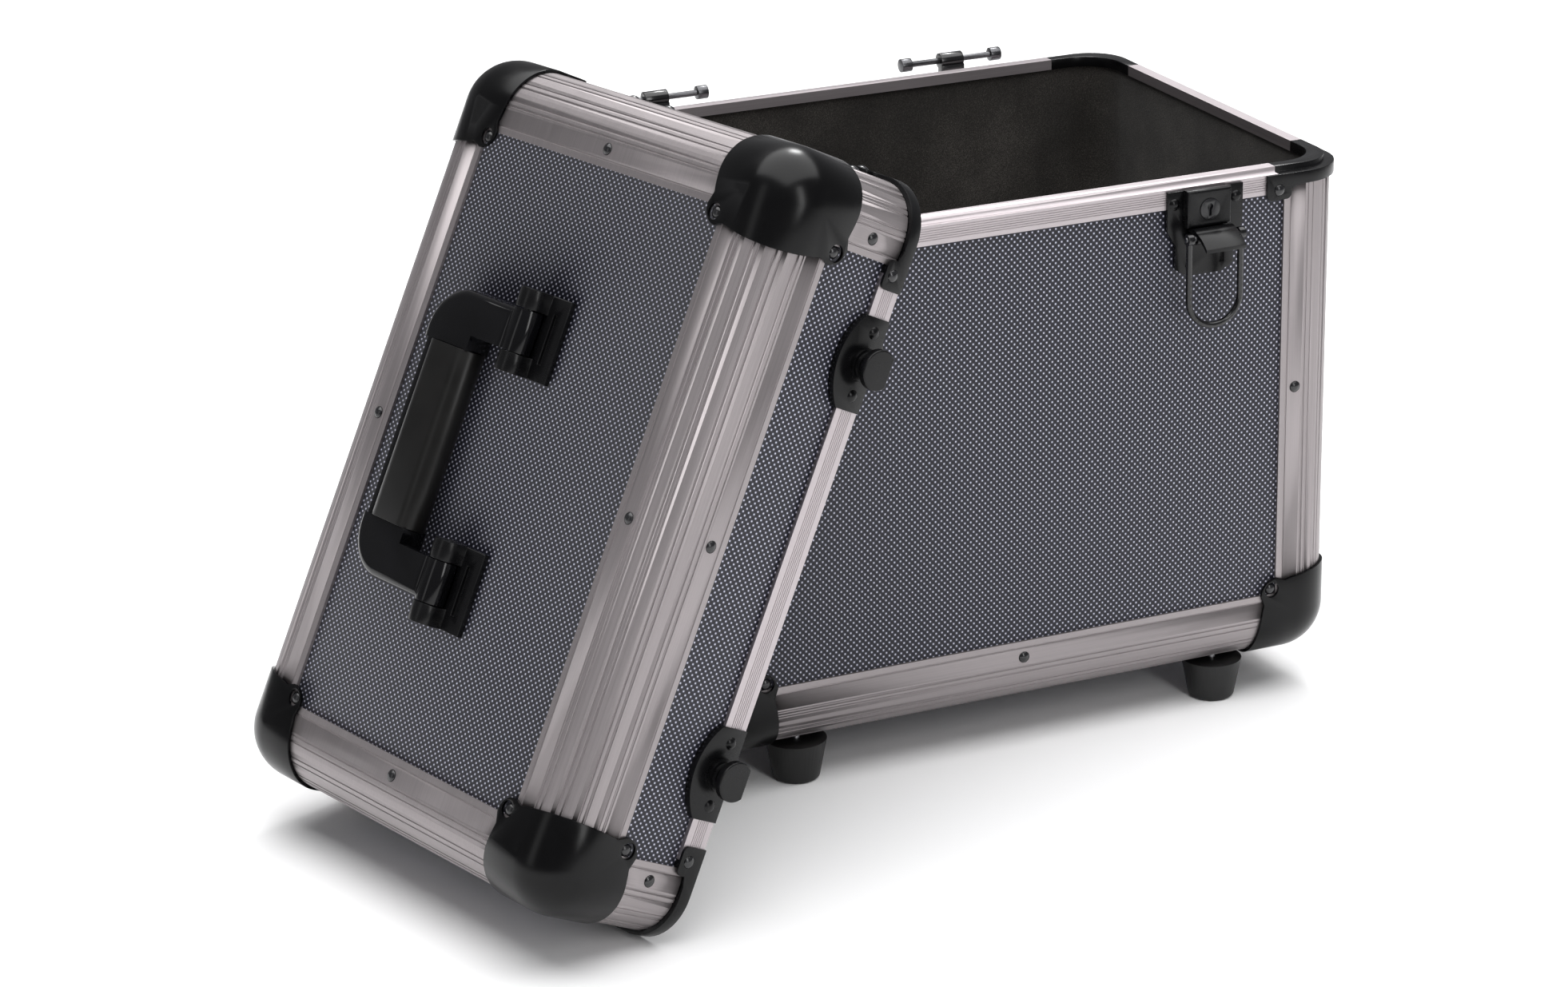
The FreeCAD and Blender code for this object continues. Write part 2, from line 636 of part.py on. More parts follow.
def bail_wire():
    """Wire bail hanging from x = 0, its two eyes round a pin through the origin."""
    bend = BAIL_HALF
    drop = BAIL_LENGTH - bend
    parts = []
    for side in (-1, 1):
        middle = Vector(side * bend, 0, 0)
        parts.append(rod(middle - X_AXIS * WIRE_R, X_AXIS, 2 * WIRE_R, BAIL_PIN_R + 1.5))
        parts.append(rod(middle, Vector(0, 0, -1), drop, WIRE_R))
    wire = Part.Face(Part.Wire(Part.makeCircle(WIRE_R, Vector(bend, 0, -drop), Z_AXIS)))
    parts.append(wire.revolve(Vector(0, 0, -drop), Y_AXIS, 180))
    return fuse(parts).cut(rod(Vector(-20, 0, 0), X_AXIS, 40, BAIL_PIN_R + 0.06))


def build_latches():
    """Two key-lock draw latches on the front, resting open."""
    pin = Vector(0, -HALF_W - PIN_OUT, PIN_Z)
    lever = turned(latch_lever(), pin, X_AXIS, -LATCH_OPEN)
    bail = bail_wire()
    hang = turned_point(pin, Vector(0, -BAIL_OUT, -BAIL_DROP), -LATCH_OPEN)
    bail.translate(hang)
    bail_pin = rod(hang - X_AXIS * (BAIL_HALF + 2.4), X_AXIS, 2 * BAIL_HALF + 4.8, BAIL_PIN_R)
    pin_solid = rod(pin + Vector(-11.0, 0, 0), X_AXIS, 22.0, 1.45)
    pieces = {"base": latch_base(), "housing": latch_housing(), "lock": lock_cylinder(),
              "lever": lever, "bail": bail, "bail_pin": bail_pin}
    pins = []
    for side, name in ((-1, "left"), (1, "right")):
        shift = Vector(side * LATCH_X, 0, 0)
        for kind, shape in pieces.items():
            copy = shape.copy()
            copy.translate(shift)
            add("latch_" + name + "_" + kind, copy)
        one = pin_solid.copy()
        one.translate(shift)
        pins.append(one)
    add("latch_pins", *pins)


def turned_point(centre, offset, degrees):
    """A point at an offset from a centre, turned about the X axis."""
    return centre + Rotation(X_AXIS, degrees).multVec(offset)


# ---- hinges -----------------------------------------------------------------------------------
def build_hinges():
    """Lift-off hinges: a leaf and a long pin on the box, open hooks on the lid."""
    face = HALF_W + RIM_PROUD
    axis = Vector(0, HINGE_PIN_Y, HINGE_PIN_Z)
    leaf = block(-20, 20, face, face + 1.5, SEAT_Z - 17, SEAT_Z - 1)
    web = block(-6.5, 6.5, face, HINGE_PIN_Y + 1.0, SEAT_Z - 4, HINGE_PIN_Z - 2)
    web = web.cut(block(-8, 8, face + 3.2, HINGE_PIN_Y + 3, SEAT_Z - 6, SEAT_Z - 0.5))
    knuckle = rod(axis + Vector(-6.5, 0, 0), X_AXIS, 13, 4.1)
    backing = block(-20, 20, HALF_W - LEAF_THICK, face, SEAT_Z - 17, SEAT_Z - 10.2)
    leaf = fuse([leaf, web, knuckle, backing])
    leaf = leaf.cut(rod(axis + Vector(-30, 0, 0), X_AXIS, 60, HINGE_PIN_R))
    for u in (-14, 14):
        leaf = leaf.fuse(rivet(Vector(u, face + 1.5, SEAT_Z - 9), Y_AXIS))
    pin = rod(axis + Vector(-29, 0, 0), X_AXIS, 58, HINGE_PIN_R)
    for u in (-29.5, 23.5):
        pin = pin.fuse(rod(axis + Vector(u, 0, 0), X_AXIS, 6, 3.6))
    pins = []
    for side, name in ((-1, "left"), (1, "right")):
        shift = Vector(side * HINGE_X, 0, 0)
        one = leaf.removeSplitter().copy()
        one.translate(shift)
        add("hinge_" + name + "_leaf", one)
        two = pin.removeSplitter().copy()
        two.translate(shift)
        pins.append(two)
    add("hinge_pins", *pins)


def hinge_hook():
    """The lid's half of a hinge in lid coordinates: plate and two open hooks."""
    face = HALF_W + RIM_PROUD
    pin_z = HINGE_PIN_Z - SEAT_Z
    axis = Vector(0, HINGE_PIN_Y, pin_z)
    plate = block(-23, 23, face, face + 1.5, 11.5, 24)
    plate = plate.fuse(block(-23, 23, HALF_W - LEAF_THICK, face, RIM_HEIGHT + 0.2, 24))
    hooks = []
    for u in (-20.5, 13.5):
        curl = rod(axis + Vector(u, 0, 0), X_AXIS, 7, 3.9)
        arm = block(u, u + 7, face, HINGE_PIN_Y, pin_z + 1.9, 13)
        hook = curl.fuse(arm).cut(rod(axis + Vector(u - 1, 0, 0), X_AXIS, 9, HINGE_PIN_R + 0.3))
        mouth = block(u - 1, u + 8, face - 2, HINGE_PIN_Y + 1.2, pin_z - 6, pin_z)
        hooks.append(hook.cut(mouth))
    hook = fuse([plate] + hooks)
    hook = hook.cut(block(-40, 40, HALF_W - 10, face, -2, 11.4))
    for u in (-14, 0, 14):
        hook = hook.fuse(rivet(Vector(u, face + 1.5, 18), Y_AXIS))
    return hook.removeSplitter()


# ---- lid --------------------------------------------------------------------------------------
def lid_placement():
    """Puts level lid pieces where the lid leans, its lower rim corners on the floor."""
    turn = Rotation(Z_AXIS, TWIST).multiply(Rotation(Y_AXIS, LEAN - 90.0))
    low = Vector(-HALF_L - RIM_PROUD - PAD_THICK, 0, 0)
    return Placement(Vector(LID_REST_X, LID_REST_Y, 0) - turn.multVec(low), turn)


def striker_plate():
    """D-shaped catch plate on the lid's front rim, its curved side turned down to the panel."""
    front = -HALF_W - RIM_PROUD
    t = 1.5
    half = 22.0
    crown = Part.Arc(Vector(half, front, 15), Vector(0, front, 23.5), Vector(-half, front, 15)).toShape()
    outline = Part.Wire([
        Part.makeLine(Vector(-half, front, 15), Vector(-half, front, 0.4)),
        Part.makeLine(Vector(-half, front, 0.4), Vector(half, front, 0.4)),
        Part.makeLine(Vector(half, front, 0.4), Vector(half, front, 15)),
        crown,
    ])
    plate = Part.Face(outline).extrude(Vector(0, -t, 0))
    skirt = Part.Face(outline).extrude(Vector(0, RIM_PROUD + LEAF_THICK, 0))
    skirt = skirt.common(block(-half, half, front - 1, front + 5, RIM_HEIGHT + 0.1, 40))
    plate = fuse([plate, skirt])
    for u in (-15, 15):
        plate = plate.fuse(rivet(Vector(u, front - t, POST_Z), Vector(0, -1, 0)))
    return plate.removeSplitter()


def striker_post():
    """Post with a D-shaped cap for the bail."""
    start = Vector(0, -HALF_W - RIM_PROUD - 1.5, POST_Z)
    neck = rod(start, Vector(0, -1, 0), 8.2, POST_R)
    cap = rod(start + Vector(0, -8.2, 0), Vector(0, -1, 0), 3.4, CAP_R)
    cap = cap.cut(block(-20, 20, -HALF_W - 40, -HALF_W, -20, 1.0))
    rim = [e for e in cap.Edges if e.BoundBox.YMax < start.y - 11.0]
    cap = cap.makeFillet(0.8, rim)
    shoulder = rod(start, Vector(0, -1, 0), 2.4, POST_R + 1.4)
    slot = block(-3.2, 3.2, start.y - 6.6, start.y - 4.4, POST_Z + POST_R - 1.8, POST_Z + POST_R + 2)
    return fuse([neck, shoulder, cap]).cut(slot)


def build_lid(place):
    """Every lid piece, placed where the lid leans."""
    def put(name, *shapes):
        moved = []
        for shape in shapes:
            copy = shape.copy()
            copy.Placement = place.multiply(copy.Placement)
            moved.append(copy)
        add(name, *moved)

    wall_top = LID_HEIGHT - LIP_HEIGHT - 3.0
    panels = shell_panels(0.0, wall_top)
    for name, shape in zip(("top", "front", "back", "left", "right"), panels):
        swapped = {"front": "back", "back": "front"}.get(name, name)
        put("lid_" + swapped + "_panel", upturned(shape))
    rings = rim_rings(LID_HEIGHT, True)
    put("lid_lining", upturned(lining(DEPTH, wall_top).cut(rings)))
    rivets = shell_rivets(LID_HEIGHT, LID_HEIGHT)
    long_ones, upright = frame_profiles(LID_HEIGHT)
    put("lid_top_profiles", *[upturned(s) for s in drill(long_ones, rivets)])
    put("lid_corner_profiles", *[upturned(s) for s in drill(upright, rivets)])
    put("lid_ball_corners", *[upturned(s) for s in four_corners(ball_corner())])
    front_rim = rim_front_straight(rings, LID_HEIGHT, True)
    right_rim = rim_end_straight(rings, LID_HEIGHT, True)
    put("lid_rim_back", upturned(front_rim))
    put("lid_rim_front", upturned(mirror_y(front_rim)))
    put("lid_rim_right", upturned(right_rim))
    put("lid_rim_left", upturned(mirror_x(right_rim)))
    brackets = drill(four_corners(rim_bracket(rings, LID_HEIGHT, 0.0)), rivets)
    put("lid_rim_brackets", *[upturned(s) for s in brackets])
    put("lid_rivets", *[upturned(s) for s in rivets])

    plate = striker_plate()
    post = striker_post()
    posts = []
    for side, name in ((-1, "left"), (1, "right")):
        shift = Vector(side * LATCH_X, 0, 0)
        one = plate.copy()
        one.translate(shift)
        put("striker_" + name + "_plate", one)
        two = post.copy()
        two.translate(shift)
        posts.append(two)
    put("striker_posts", *posts)
    hook = hinge_hook()
    hooks = []
    for side in (-1, 1):
        one = hook.copy()
        one.translate(Vector(side * HINGE_X, 0, 0))
        hooks.append(one)
    put("hinge_hooks", *hooks)
    for name, shapes in handle_pieces().items():
        put(name, *shapes)


# ---- handle -----------------------------------------------------------------------------------
def handle_pieces():
    """Fold-down case handle on the lid's top, folded towards the back."""
    top = LID_HEIGHT
    pin = Vector(0, HANDLE_PIN_Y, top + HANDLE_PIN_UP)
    bracket = block(-20, 20, -15.5, 13, top, top + 3.0)
    bracket = bracket.cut(block(-12, 12, -8.5, -6.0, top + 1.2, top + 4))
    for u in (-20.0, 10.6):
        knuckle = rod(pin + Vector(u, 0, 0), X_AXIS, 9.4, 7.0)
        foot = block(u, u + 9.4, HANDLE_PIN_Y - 7.0, HANDLE_PIN_Y + 7.0, top, pin.z)
        bracket = bracket.fuse([knuckle, foot])
    pin_way = rod(pin + Vector(-10.6, 0, 0), X_AXIS, 21.2, 7.6)
    bracket = bracket.cut(pin_way).cut(rod(pin + Vector(-30, 0, 0), X_AXIS, 60, 2.5))
    bracket = bracket.removeSplitter()

    arm_z0 = top + 3.4
    arm_z1 = top + 16.6
    outer_x = HANDLE_X + 10.0
    inner_x = HANDLE_X - 10.2
    far = GRIP_Y + GRIP_WIDTH / 2
    arm = block(inner_x, outer_x, HANDLE_PIN_Y, HANDLE_REACH, arm_z0, arm_z1)
    elbow = block(GRIP_HALF, outer_x, GRIP_Y - GRIP_WIDTH / 2 + 2.0, HANDLE_REACH, arm_z0, arm_z1)
    arm = fuse([arm, elbow])
    bend = [e for e in arm.Edges if abs(e.tangentAt(e.FirstParameter).z) > 0.9
            and e.BoundBox.XMin > outer_x - 0.1 and e.BoundBox.YMin > GRIP_Y]
    arm = arm.makeFillet(23.0, bend)
    outside = [e for e in arm.Edges if e.BoundBox.ZMin > arm_z1 - 0.01
               and (e.BoundBox.XMax > outer_x - 0.01 or e.BoundBox.YMin > HANDLE_REACH - 0.01)]
    arm = arm.makeFillet(5.0, outside)
    boss = rod(pin + X_AXIS * inner_x, X_AXIS, outer_x - inner_x, 7.2)
    arm = fuse([arm, boss])
    collar = rod(Vector(GRIP_HALF, GRIP_Y - 1.0, top + 9.3), X_AXIS, 3.0, 6.6)
    core = block(-GRIP_HALF - 1, GRIP_HALF + 1, GRIP_Y - 8, GRIP_Y + 8, top + 5.5, top + 12.0)
    rail = block(-inner_x - 1, inner_x + 1, far + 1.4, HANDLE_REACH - 0.6, arm_z0 + 1.0, arm_z1 - 4.0)
    frame = fuse([arm, mirror_x(arm), collar, mirror_x(collar), core, rail])
    frame = frame.cut(rod(pin + Vector(-90, 0, 0), X_AXIS, 180, 2.56))

    sleeve = block(-GRIP_HALF, GRIP_HALF, GRIP_Y - GRIP_WIDTH / 2, far, top + 1.6, top + 18.0)
    edges = [e for e in sleeve.Edges if abs(e.tangentAt(e.FirstParameter).x) > 0.9]
    sleeve = sleeve.makeFillet(8.0, edges)
    sleeve = sleeve.cut(block(-60, 60, GRIP_Y - 8, GRIP_Y + 8, top + 5.5, top + 12.0))

    brackets = []
    pins = []
    for side in (-1, 1):
        shift = Vector(side * HANDLE_X, 0, 0)
        one = bracket.copy()
        one.translate(shift)
        brackets.append(one)
        pins.append(rod(pin + shift + Vector(-19.5, 0, 0), X_AXIS, 39, 2.5))
    return {
        "handle_bracket_left": [brackets[0]],
        "handle_bracket_right": [brackets[1]],
        "handle_frame": [frame],
        "handle_grip": [sleeve],
        "handle_pins": pins,
    }


def build_all():
    """Every node of the box and the leaning lid."""
    build_box()
    build_feet()
    build_latches()
    build_hinges()
    build_lid(lid_placement())
    return NODES


def export():
    os.makedirs("parts", exist_ok=True)
    for name, shape in NODES.items():
        shape.exportStep("parts/" + name + ".step")


build_all()
export()
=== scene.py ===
"""Looks of the aluminium-framed art supply box: dressed meshes, materials, light and camera.

Every visible piece is a bevelled copy of its CAD node, in metres in the CAD's own frame, so each one
sits exactly where the frame says. The lid leans, so its patterns are laid out in the lid's own axes.
"""
import json
import math

import bmesh
import bpy
from mathutils import Matrix, Vector


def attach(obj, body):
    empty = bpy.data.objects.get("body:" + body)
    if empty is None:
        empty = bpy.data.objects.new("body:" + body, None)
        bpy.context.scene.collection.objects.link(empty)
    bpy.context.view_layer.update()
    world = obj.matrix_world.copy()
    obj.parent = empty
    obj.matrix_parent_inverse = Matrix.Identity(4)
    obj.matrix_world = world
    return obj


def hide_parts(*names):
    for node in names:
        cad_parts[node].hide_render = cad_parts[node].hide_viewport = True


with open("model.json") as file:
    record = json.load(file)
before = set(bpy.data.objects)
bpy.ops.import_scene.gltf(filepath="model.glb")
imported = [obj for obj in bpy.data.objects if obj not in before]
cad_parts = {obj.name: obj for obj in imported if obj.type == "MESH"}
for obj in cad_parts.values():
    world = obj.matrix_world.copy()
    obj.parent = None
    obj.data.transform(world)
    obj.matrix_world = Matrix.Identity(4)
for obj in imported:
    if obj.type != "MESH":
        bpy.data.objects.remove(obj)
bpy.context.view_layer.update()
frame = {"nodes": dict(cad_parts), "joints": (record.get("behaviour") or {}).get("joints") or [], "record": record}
NODES = frame["nodes"]
RECORD = frame["record"]
BODY_OF = {n: b for b, names in RECORD["behaviour"]["bodies"].items() for n in names}
SLOT_OF = {s["node"]: s["material_slot"] for s in RECORD["subparts"]}
MM = 0.001

WELD_DISTANCE = 2e-6       # vertices nearer than this are one, m
FLAT_ANGLE = math.radians(0.5)     # faces within this angle are joined before bevelling
SHARP_ANGLE = math.radians(40.0)   # edges sharper than this are rounded
SMOOTH_ANGLE = math.radians(32.0)  # faces within this angle are shaded as one surface
BEVEL_SEGMENTS = 2

# ---- the lid's own axes -------------------------------------------------------------------------
handle_joint = next(j for j in frame["joints"] if j["name"] == "handle_fold")
LID_X = Vector(handle_joint["axis"]).normalized()
LID_Y = Vector((0, 0, 1)).cross(LID_X).normalized()
LID_Z = LID_X.cross(LID_Y)
LID_TO_LOCAL = Matrix((LID_X, LID_Y, LID_Z))
LID_ORIGIN = Vector(handle_joint["pos_m"])
LID_BODIES = {"lid", "handle"}


def local(node, point):
    """A point in the axes its piece was made in: the lid's or the box's, in millimetres."""
    if BODY_OF[node] in LID_BODIES:
        point = LID_TO_LOCAL @ (point - LID_ORIGIN)
    return point / MM


# ---- meshes ---------------------------------------------------------------------------------------
def islands(bm):
    """Lists the vertices of each separate piece of a mesh."""
    left = set(bm.verts)
    groups = []
    while left:
        stack = [left.pop()]
        group = []
        while stack:
            vert = stack.pop()
            group.append(vert)
            for edge in vert.link_edges:
                other = edge.other_vert(vert)
                if other in left:
                    left.remove(other)
                    stack.append(other)
        groups.append(group)
    return groups


LONG_WALL = (0, 2, 1)
END_WALL = (1, 2, 0)
FLAT_PANEL = (0, 1, 2)
PANEL_AXES = {"front": LONG_WALL, "back": LONG_WALL, "left": END_WALL, "right": END_WALL}


def pattern_axes(node, points):
    """Which local axes carry a piece's pattern: along, across and out of the surface."""
    if "panel" in node:
        return PANEL_AXES.get(node.split("_")[1], FLAT_PANEL)
    spans = [max(p[i] for p in points) - min(p[i] for p in points) for i in range(3)]
    along = spans.index(max(spans))
    if "_rim_" in node and along < 2:
        return along, 2, 1 - along
    return along, (along + 1) % 3, (along + 2) % 3


def dressed(node, bevel):
    """A copy of a CAD node with pattern coordinates, its sharp edges rounded by bevel mm."""
    bm = bmesh.new()
    bm.from_mesh(NODES[node].data)
    bmesh.ops.remove_doubles(bm, verts=bm.verts, dist=WELD_DISTANCE)
    if bevel:
        bmesh.ops.dissolve_limit(bm, angle_limit=FLAT_ANGLE, verts=bm.verts, edges=bm.edges)
        sharp = [e for e in bm.edges if len(e.link_faces) == 2 and e.calc_face_angle(0) > SHARP_ANGLE]
        bmesh.ops.bevel(bm, geom=sharp, offset=bevel * MM, segments=BEVEL_SEGMENTS, profile=0.5,
                        affect="EDGES", clamp_overlap=True)
    layout = bm.verts.layers.float_vector.new("fit")
    for group in islands(bm):
        places = {v: local(node, v.co) for v in group}
        order = pattern_axes(node, list(places.values()))
        for vert, place in places.items():
            vert[layout] = Vector([place[i] for i in order])
    mesh = bpy.data.meshes.new("look_" + node)
    bm.to_mesh(mesh)
    bm.free()
    mesh.polygons.foreach_set("use_smooth", [True] * len(mesh.polygons))
    mesh.set_sharp_from_angle(angle=SMOOTH_ANGLE)
    piece = bpy.data.objects.new("look_" + node, mesh)
    bpy.context.scene.collection.objects.link(piece)
    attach(piece, BODY_OF[node])
    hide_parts(node)
    return piece


# ---- material building blocks ---------------------------------------------------------------------
class Shader:
    """A material under construction, with a short call for each kind of node it uses."""

    def __init__(self, name):
        self.material = bpy.data.materials.new(name)
        self.material.use_nodes = True
        self.tree = self.material.node_tree
        self.bsdf = self.tree.nodes["Principled BSDF"]

    def link(self, source, target):
        if isinstance(source, (int, float)):
            target.default_value = source
        else:
            self.tree.links.new(source, target)

    def math(self, operation, *terms):
        node = self.tree.nodes.new("ShaderNodeMath")
        node.operation = operation
        for term, socket in zip(terms, node.inputs):
            self.link(term, socket)
        return node.outputs[0]

    def weigh(self, *weighted):
        """The sum of several (source, weight) pairs."""
        parts = [self.math("MULTIPLY", source, weight) for source, weight in weighted]
        total = parts[0]
        for part in parts[1:]:
            total = self.math("ADD", total, part)
        return total

    def place(self, scale=(1.0, 1.0, 1.0)):
        """The piece's pattern coordinates in millimetres, scaled along each axis."""
        source = self.tree.nodes.new("ShaderNodeAttribute")
        source.attribute_name = "fit"
        node = self.tree.nodes.new("ShaderNodeVectorMath")
        node.operation = "MULTIPLY"
        self.tree.links.new(source.outputs["Vector"], node.inputs[0])
        node.inputs[1].default_value = scale
        return node.outputs[0]

    def split(self, vector):
        node = self.tree.nodes.new("ShaderNodeSeparateXYZ")
        self.tree.links.new(vector, node.inputs[0])
        return node.outputs

    def noise(self, vector, detail=3.0, rough=0.55):
        node = self.tree.nodes.new("ShaderNodeTexNoise")
        node.inputs["Scale"].default_value = 1.0
        node.inputs["Detail"].default_value = detail
        node.inputs["Roughness"].default_value = rough
        self.tree.links.new(vector, node.inputs["Vector"])
        return node.outputs["Fac"]

    def remap(self, source, low, high, to_low, to_high):
        node = self.tree.nodes.new("ShaderNodeMapRange")
        node.interpolation_type = "SMOOTHSTEP"
        self.link(source, node.inputs["Value"])
        for key, number in (("From Min", low), ("From Max", high), ("To Min", to_low), ("To Max", to_high)):
            node.inputs[key].default_value = number
        return node.outputs["Result"]

    def ramp(self, source, stops):
        node = self.tree.nodes.new("ShaderNodeValToRGB")
        self.tree.links.new(source, node.inputs["Fac"])
        band = node.color_ramp
        while len(band.elements) < len(stops):
            band.elements.new(0.5)
        for element, (at, colour) in zip(band.elements, stops):
            element.position = at
            element.color = (*colour, 1.0)
        return node.outputs["Color"]

    def bump(self, height, distance_mm, strength):
        node = self.tree.nodes.new("ShaderNodeBump")
        node.inputs["Strength"].default_value = strength
        node.inputs["Distance"].default_value = distance_mm * MM
        self.link(height, node.inputs["Height"])
        return node.outputs["Normal"]

    def finish(self, **sockets):
        for name, source in sockets.items():
            target = self.bsdf.inputs[name.replace("_", " ")]
            if isinstance(source, tuple):
                target.default_value = (*source, 1.0)
            else:
                self.link(source, target)
        return self.material


# ---- materials ------------------------------------------------------------------------------------
DOT_ALONG = 3.2            # pattern period of the laminate's raised dots, mm
DOT_ACROSS = 3.46


def laminate(name):
    """Slate laminate embossed with staggered rows of small dots; its colour paints the raised dots bright as
    highlights and the pits between them dark as shade.
    """
    s = Shader(name)
    u, v, _ = s.split(s.place())
    wave_u = s.math("COSINE", s.math("MULTIPLY", u, 2 * math.pi / DOT_ALONG))
    wave_v = s.math("COSINE", s.math("MULTIPLY", v, 2 * math.pi / DOT_ACROSS))
    lattice = s.math("MULTIPLY", wave_u, wave_v)
    level = s.math("MULTIPLY_ADD", lattice, 0.5, 0.5)
    speck = s.noise(s.place((1.3, 1.3, 1.3)), detail=2.0)
    lively = s.math("ADD", level, s.math("MULTIPLY", s.math("SUBTRACT", speck, 0.5), 0.10))
    # painted light: the ramp paints a highlight on each raised dot and painted shade in the pits between them,
    # over the slate base colour
    colour = s.ramp(lively, [
        (0.0, (0.003, 0.003, 0.005)),
        (0.30, (0.009, 0.009, 0.016)),
        (0.74, (0.024, 0.025, 0.040)),
        (0.88, (0.40, 0.40, 0.48)),
        (1.0, (0.60, 0.60, 0.71)),
    ])
    height = s.remap(level, 0.45, 0.95, 0.0, 1.0)
    rough = s.remap(speck, 0.3, 0.7, 0.38, 0.50)
    s.bsdf.inputs["Specular IOR Level"].default_value = 0.35
    return s.finish(Base_Color=colour, Roughness=rough, Normal=s.bump(height, 0.18, 0.7))


def brushed(name, colour, dark, rough_low, rough_high):
    """Anodised aluminium with fine lines along the extrusion."""
    s = Shader(name)
    fine = s.noise(s.place((0.008, 5.0, 5.0)), detail=4.0, rough=0.7)
    lines = s.noise(s.place((0.004, 1.1, 1.1)), detail=3.0, rough=0.65)
    cloud = s.noise(s.place((0.015, 0.05, 0.05)), detail=2.0)
    mix = s.weigh((lines, 0.3), (fine, 0.5), (cloud, 0.2))
    tint = s.ramp(mix, [(0.34, dark), (0.62, colour)])
    rough = s.remap(mix, 0.3, 0.7, rough_low, rough_high)
    return s.finish(Base_Color=tint, Metallic=1.0, Roughness=rough, Normal=s.bump(mix, 0.008, 0.5))


GRAIN_SCALE = 2.4          # grain cells per mm on the black surfaces
LIGHTER = 1.7              # how much lighter their pale clouds are


def moulded(name, colour, rough_low, rough_high, grain_mm, specular):
    """Black moulded or coated surface with a fine grain and slightly uneven gloss."""
    s = Shader(name)
    grain = s.noise(s.place((GRAIN_SCALE, GRAIN_SCALE, GRAIN_SCALE)), detail=3.0)
    cloud = s.noise(s.place((0.05, 0.05, 0.05)), detail=3.0)
    rough = s.remap(s.weigh((cloud, 0.8), (grain, 0.2)), 0.3, 0.7, rough_low, rough_high)
    lighter = tuple(c * LIGHTER for c in colour)
    tint = s.ramp(cloud, [(0.3, colour), (0.75, lighter)])
    s.bsdf.inputs["Specular IOR Level"].default_value = specular
    return s.finish(Base_Color=tint, Roughness=rough, Normal=s.bump(grain, grain_mm, 0.5))


def felt(name):
    """Charcoal felt: a fine speckled nap with a soft sheen."""
    s = Shader(name)
    nap = s.noise(s.place((1.9, 1.9, 1.9)), detail=5.0, rough=0.75)
    cloud = s.noise(s.place((0.02, 0.02, 0.02)), detail=3.0)
    mix = s.weigh((nap, 0.7), (cloud, 0.3))
    tint = s.ramp(mix, [
        (0.38, (0.008, 0.007, 0.006)),
        (0.52, (0.028, 0.025, 0.022)),
        (0.64, (0.085, 0.077, 0.069)),
    ])
    s.bsdf.inputs["Sheen Weight"].default_value = 0.12
    s.bsdf.inputs["Sheen Roughness"].default_value = 0.6
    s.bsdf.inputs["Specular IOR Level"].default_value = 0.1
    return s.finish(Base_Color=tint, Roughness=0.95, Normal=s.bump(nap, 0.35, 0.9))


def steel(name, colour, rough):
    """Plain bright steel with faint turning marks."""
    s = Shader(name)
    marks = s.noise(s.place((0.4, 6.0, 6.0)), detail=3.0)
    darker = tuple(c * 0.75 for c in colour)
    tint = s.ramp(marks, [(0.3, darker), (0.7, colour)])
    uneven = s.remap(marks, 0.3, 0.7, rough, rough + 0.12)
    return s.finish(Base_Color=tint, Metallic=1.0, Roughness=uneven, Normal=s.bump(marks, 0.01, 0.5))


ALUMINIUM = (0.36, 0.33, 0.335)
ALUMINIUM_DARK = (0.29, 0.268, 0.272)
RIM = (0.50, 0.455, 0.47)
RIM_DARK = (0.42, 0.385, 0.395)
DEEP_BLACK = (0.0014, 0.0014, 0.0016)
COATED_BLACK = (0.0022, 0.0022, 0.0025)
WIRE_BLACK = (0.004, 0.004, 0.0045)
DOMED_BLACK = (0.006, 0.006, 0.007)
RUBBER_BLACK = (0.005, 0.005, 0.005)
GLOSS_BLACK = (0.0016, 0.0016, 0.002)
GRIP_BLACK = (0.004, 0.0038, 0.0036)
BRIGHT_STEEL = (0.45, 0.45, 0.46)
DARK_STEEL = (0.10, 0.10, 0.105)

# maker, material slot, then what the maker asks for: colours, roughness, grain in mm, specular level
FINISHES = [
    (laminate, "panel_laminate"),
    (brushed, "profile_aluminium", ALUMINIUM, ALUMINIUM_DARK, 0.48, 0.56),
    (brushed, "rim_aluminium", RIM, RIM_DARK, 0.42, 0.50),
    (moulded, "corner_black", DEEP_BLACK, 0.20, 0.26, 0.004, 0.20),
    (moulded, "bracket_black", COATED_BLACK, 0.22, 0.32, 0.010, 0.24),
    (moulded, "rivet_black", DOMED_BLACK, 0.18, 0.28, 0.006, 0.6),
    (felt, "felt_lining"),
    (moulded, "foot_rubber", RUBBER_BLACK, 0.38, 0.50, 0.03, 0.4),
    (steel, "screw_steel", BRIGHT_STEEL, 0.28),
    (moulded, "latch_black", COATED_BLACK, 0.20, 0.30, 0.008, 0.24),
    (moulded, "bail_black", WIRE_BLACK, 0.14, 0.24, 0.006, 0.5),
    (moulded, "lock_black", DOMED_BLACK, 0.18, 0.28, 0.006, 0.5),
    (steel, "pin_steel", DARK_STEEL, 0.25),
    (moulded, "hinge_black", WIRE_BLACK, 0.16, 0.26, 0.006, 0.5),
    (moulded, "handle_gloss", GLOSS_BLACK, 0.08, 0.14, 0.003, 0.30),
    (moulded, "handle_grip_soft", GRIP_BLACK, 0.30, 0.38, 0.015, 0.26),
]
MATERIALS = {name: make(name, *values) for make, name, *values in FINISHES}

# ---- dressing the pieces --------------------------------------------------------------------------
# bevel width in mm by part of the node's name, the first that fits
BEVELS = {
    "panel": 0.0,
    "profiles": 0.0,
    "lining": 0.0,
    "rivets": 0.0,
    "ball_corners": 0.35,
    "rim_brackets": 0.3,
    "rim": 0.0,
}
DEFAULT_BEVEL = 0.3


def bevel_of(node):
    for key, width in BEVELS.items():
        if key in node:
            return width
    return DEFAULT_BEVEL


def dress_all():
    for node in sorted(NODES):
        piece = dressed(node, bevel_of(node))
        piece.data.materials.append(MATERIALS[SLOT_OF[node]])


